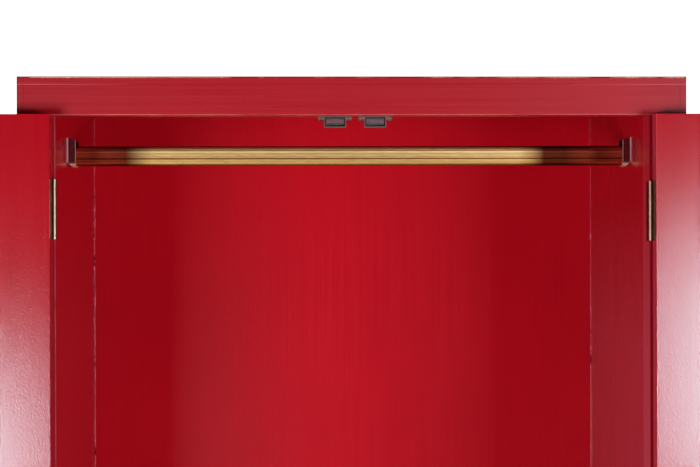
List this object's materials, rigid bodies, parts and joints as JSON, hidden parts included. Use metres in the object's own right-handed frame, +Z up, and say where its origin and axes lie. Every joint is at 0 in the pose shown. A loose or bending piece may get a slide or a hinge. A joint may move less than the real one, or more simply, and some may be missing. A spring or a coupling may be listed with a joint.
{
  "type": "wardrobe",
  "caption": "Tall red-lacquered wardrobe with hinged doors that open flat, a fluted hanging rail and magnetic catches.",
  "frame": {"origin": "on the floor, under the middle of the whole object's box with the doors open", "axes": "+Z up, the open front faces -Y, +X to the right seen from the front"},
  "size_m": [1.882, 0.5874, 1.85],
  "materials": {
    "case_lacquer": "semi-gloss red lacquer, brushed, with slightly rubbed edges",
    "door_lacquer": "semi-gloss red lacquer with a fine orange-peel",
    "gold_rail": "gold-anodised, fluted",
    "bracket_steel": "polished, a little dull",
    "screw_steel": "zinc-plated",
    "hinge_brass": "pale brass, lightly tarnished",
    "pin_brass": "pale brass",
    "knob_brass": "polished brass",
    "catch_aluminium": "dull champagne-anodised",
    "catch_magnet": "dark brown moulded ferrite",
    "plate_steel": "satin zinc-plated steel"
  },
  "bodies": {
    "cabinet": {"back_panel": "case_lacquer", "bottom_front_rail": "case_lacquer", "bottom_rear_rail": "case_lacquer", "bottom_side_rail_left": "case_lacquer", "bottom_side_rail_right": "case_lacquer", "bracket_screw_left_lower": "screw_steel", "bracket_screw_left_upper": "screw_steel", "bracket_screw_right_lower": "screw_steel", "bracket_screw_right_upper": "screw_steel", "catch_case_left": "catch_aluminium", "catch_case_right": "catch_aluminium", "catch_magnet_left": "catch_magnet", "catch_magnet_right": "catch_magnet", "catch_pole_left_lower": "plate_steel", "catch_pole_left_upper": "plate_steel", "catch_pole_right_lower": "plate_steel", "catch_pole_right_upper": "plate_steel", "floor_board": "case_lacquer", "front_post_left": "case_lacquer", "front_post_right": "case_lacquer", "hanging_rail": "gold_rail", "hinge_frame_leaf_left_bottom": "hinge_brass", "hinge_frame_leaf_left_middle": "hinge_brass", "hinge_frame_leaf_left_top": "hinge_brass", "hinge_frame_leaf_right_bottom": "hinge_brass", "hinge_frame_leaf_right_middle": "hinge_brass", "hinge_frame_leaf_right_top": "hinge_brass", "hinge_pin_left_bottom": "pin_brass", "hinge_pin_left_middle": "pin_brass", "hinge_pin_left_top": "pin_brass", "hinge_pin_right_bottom": "pin_brass", "hinge_pin_right_middle": "pin_brass", "hinge_pin_right_top": "pin_brass", "rail_bracket_left": "bracket_steel", "rail_bracket_right": "bracket_steel", "rear_post_left": "case_lacquer", "rear_post_right": "case_lacquer", "side_lining_left": "case_lacquer", "side_lining_right": "case_lacquer", "side_panel_left": "case_lacquer", "side_panel_right": "case_lacquer", "top_apron_left": "case_lacquer", "top_apron_right": "case_lacquer", "top_board": "case_lacquer", "top_front_rail": "case_lacquer", "top_rear_cleat": "case_lacquer"},
    "left_door": {"door_left": "door_lacquer", "hinge_door_leaf_left_bottom": "hinge_brass", "hinge_door_leaf_left_middle": "hinge_brass", "hinge_door_leaf_left_top": "hinge_brass", "knob_left": "knob_brass", "strike_plate_left": "plate_steel"},
    "right_door": {"door_right": "door_lacquer", "hinge_door_leaf_right_bottom": "hinge_brass", "hinge_door_leaf_right_middle": "hinge_brass", "hinge_door_leaf_right_top": "hinge_brass", "knob_right": "knob_brass", "strike_plate_right": "plate_steel"}
  },
  "joints": [
    {"name": "left_door_hinge", "type": "hinge", "parent": "cabinet", "child": "left_door", "pos_m": [-0.471, -0.25785, 0.975], "axis": [0, 0, 1], "range_deg": [0, 180]},
    {"name": "right_door_hinge", "type": "hinge", "parent": "cabinet", "child": "right_door", "pos_m": [0.471, -0.25785, 0.975], "axis": [0, 0, -1], "range_deg": [0, 180]}
  ]
}
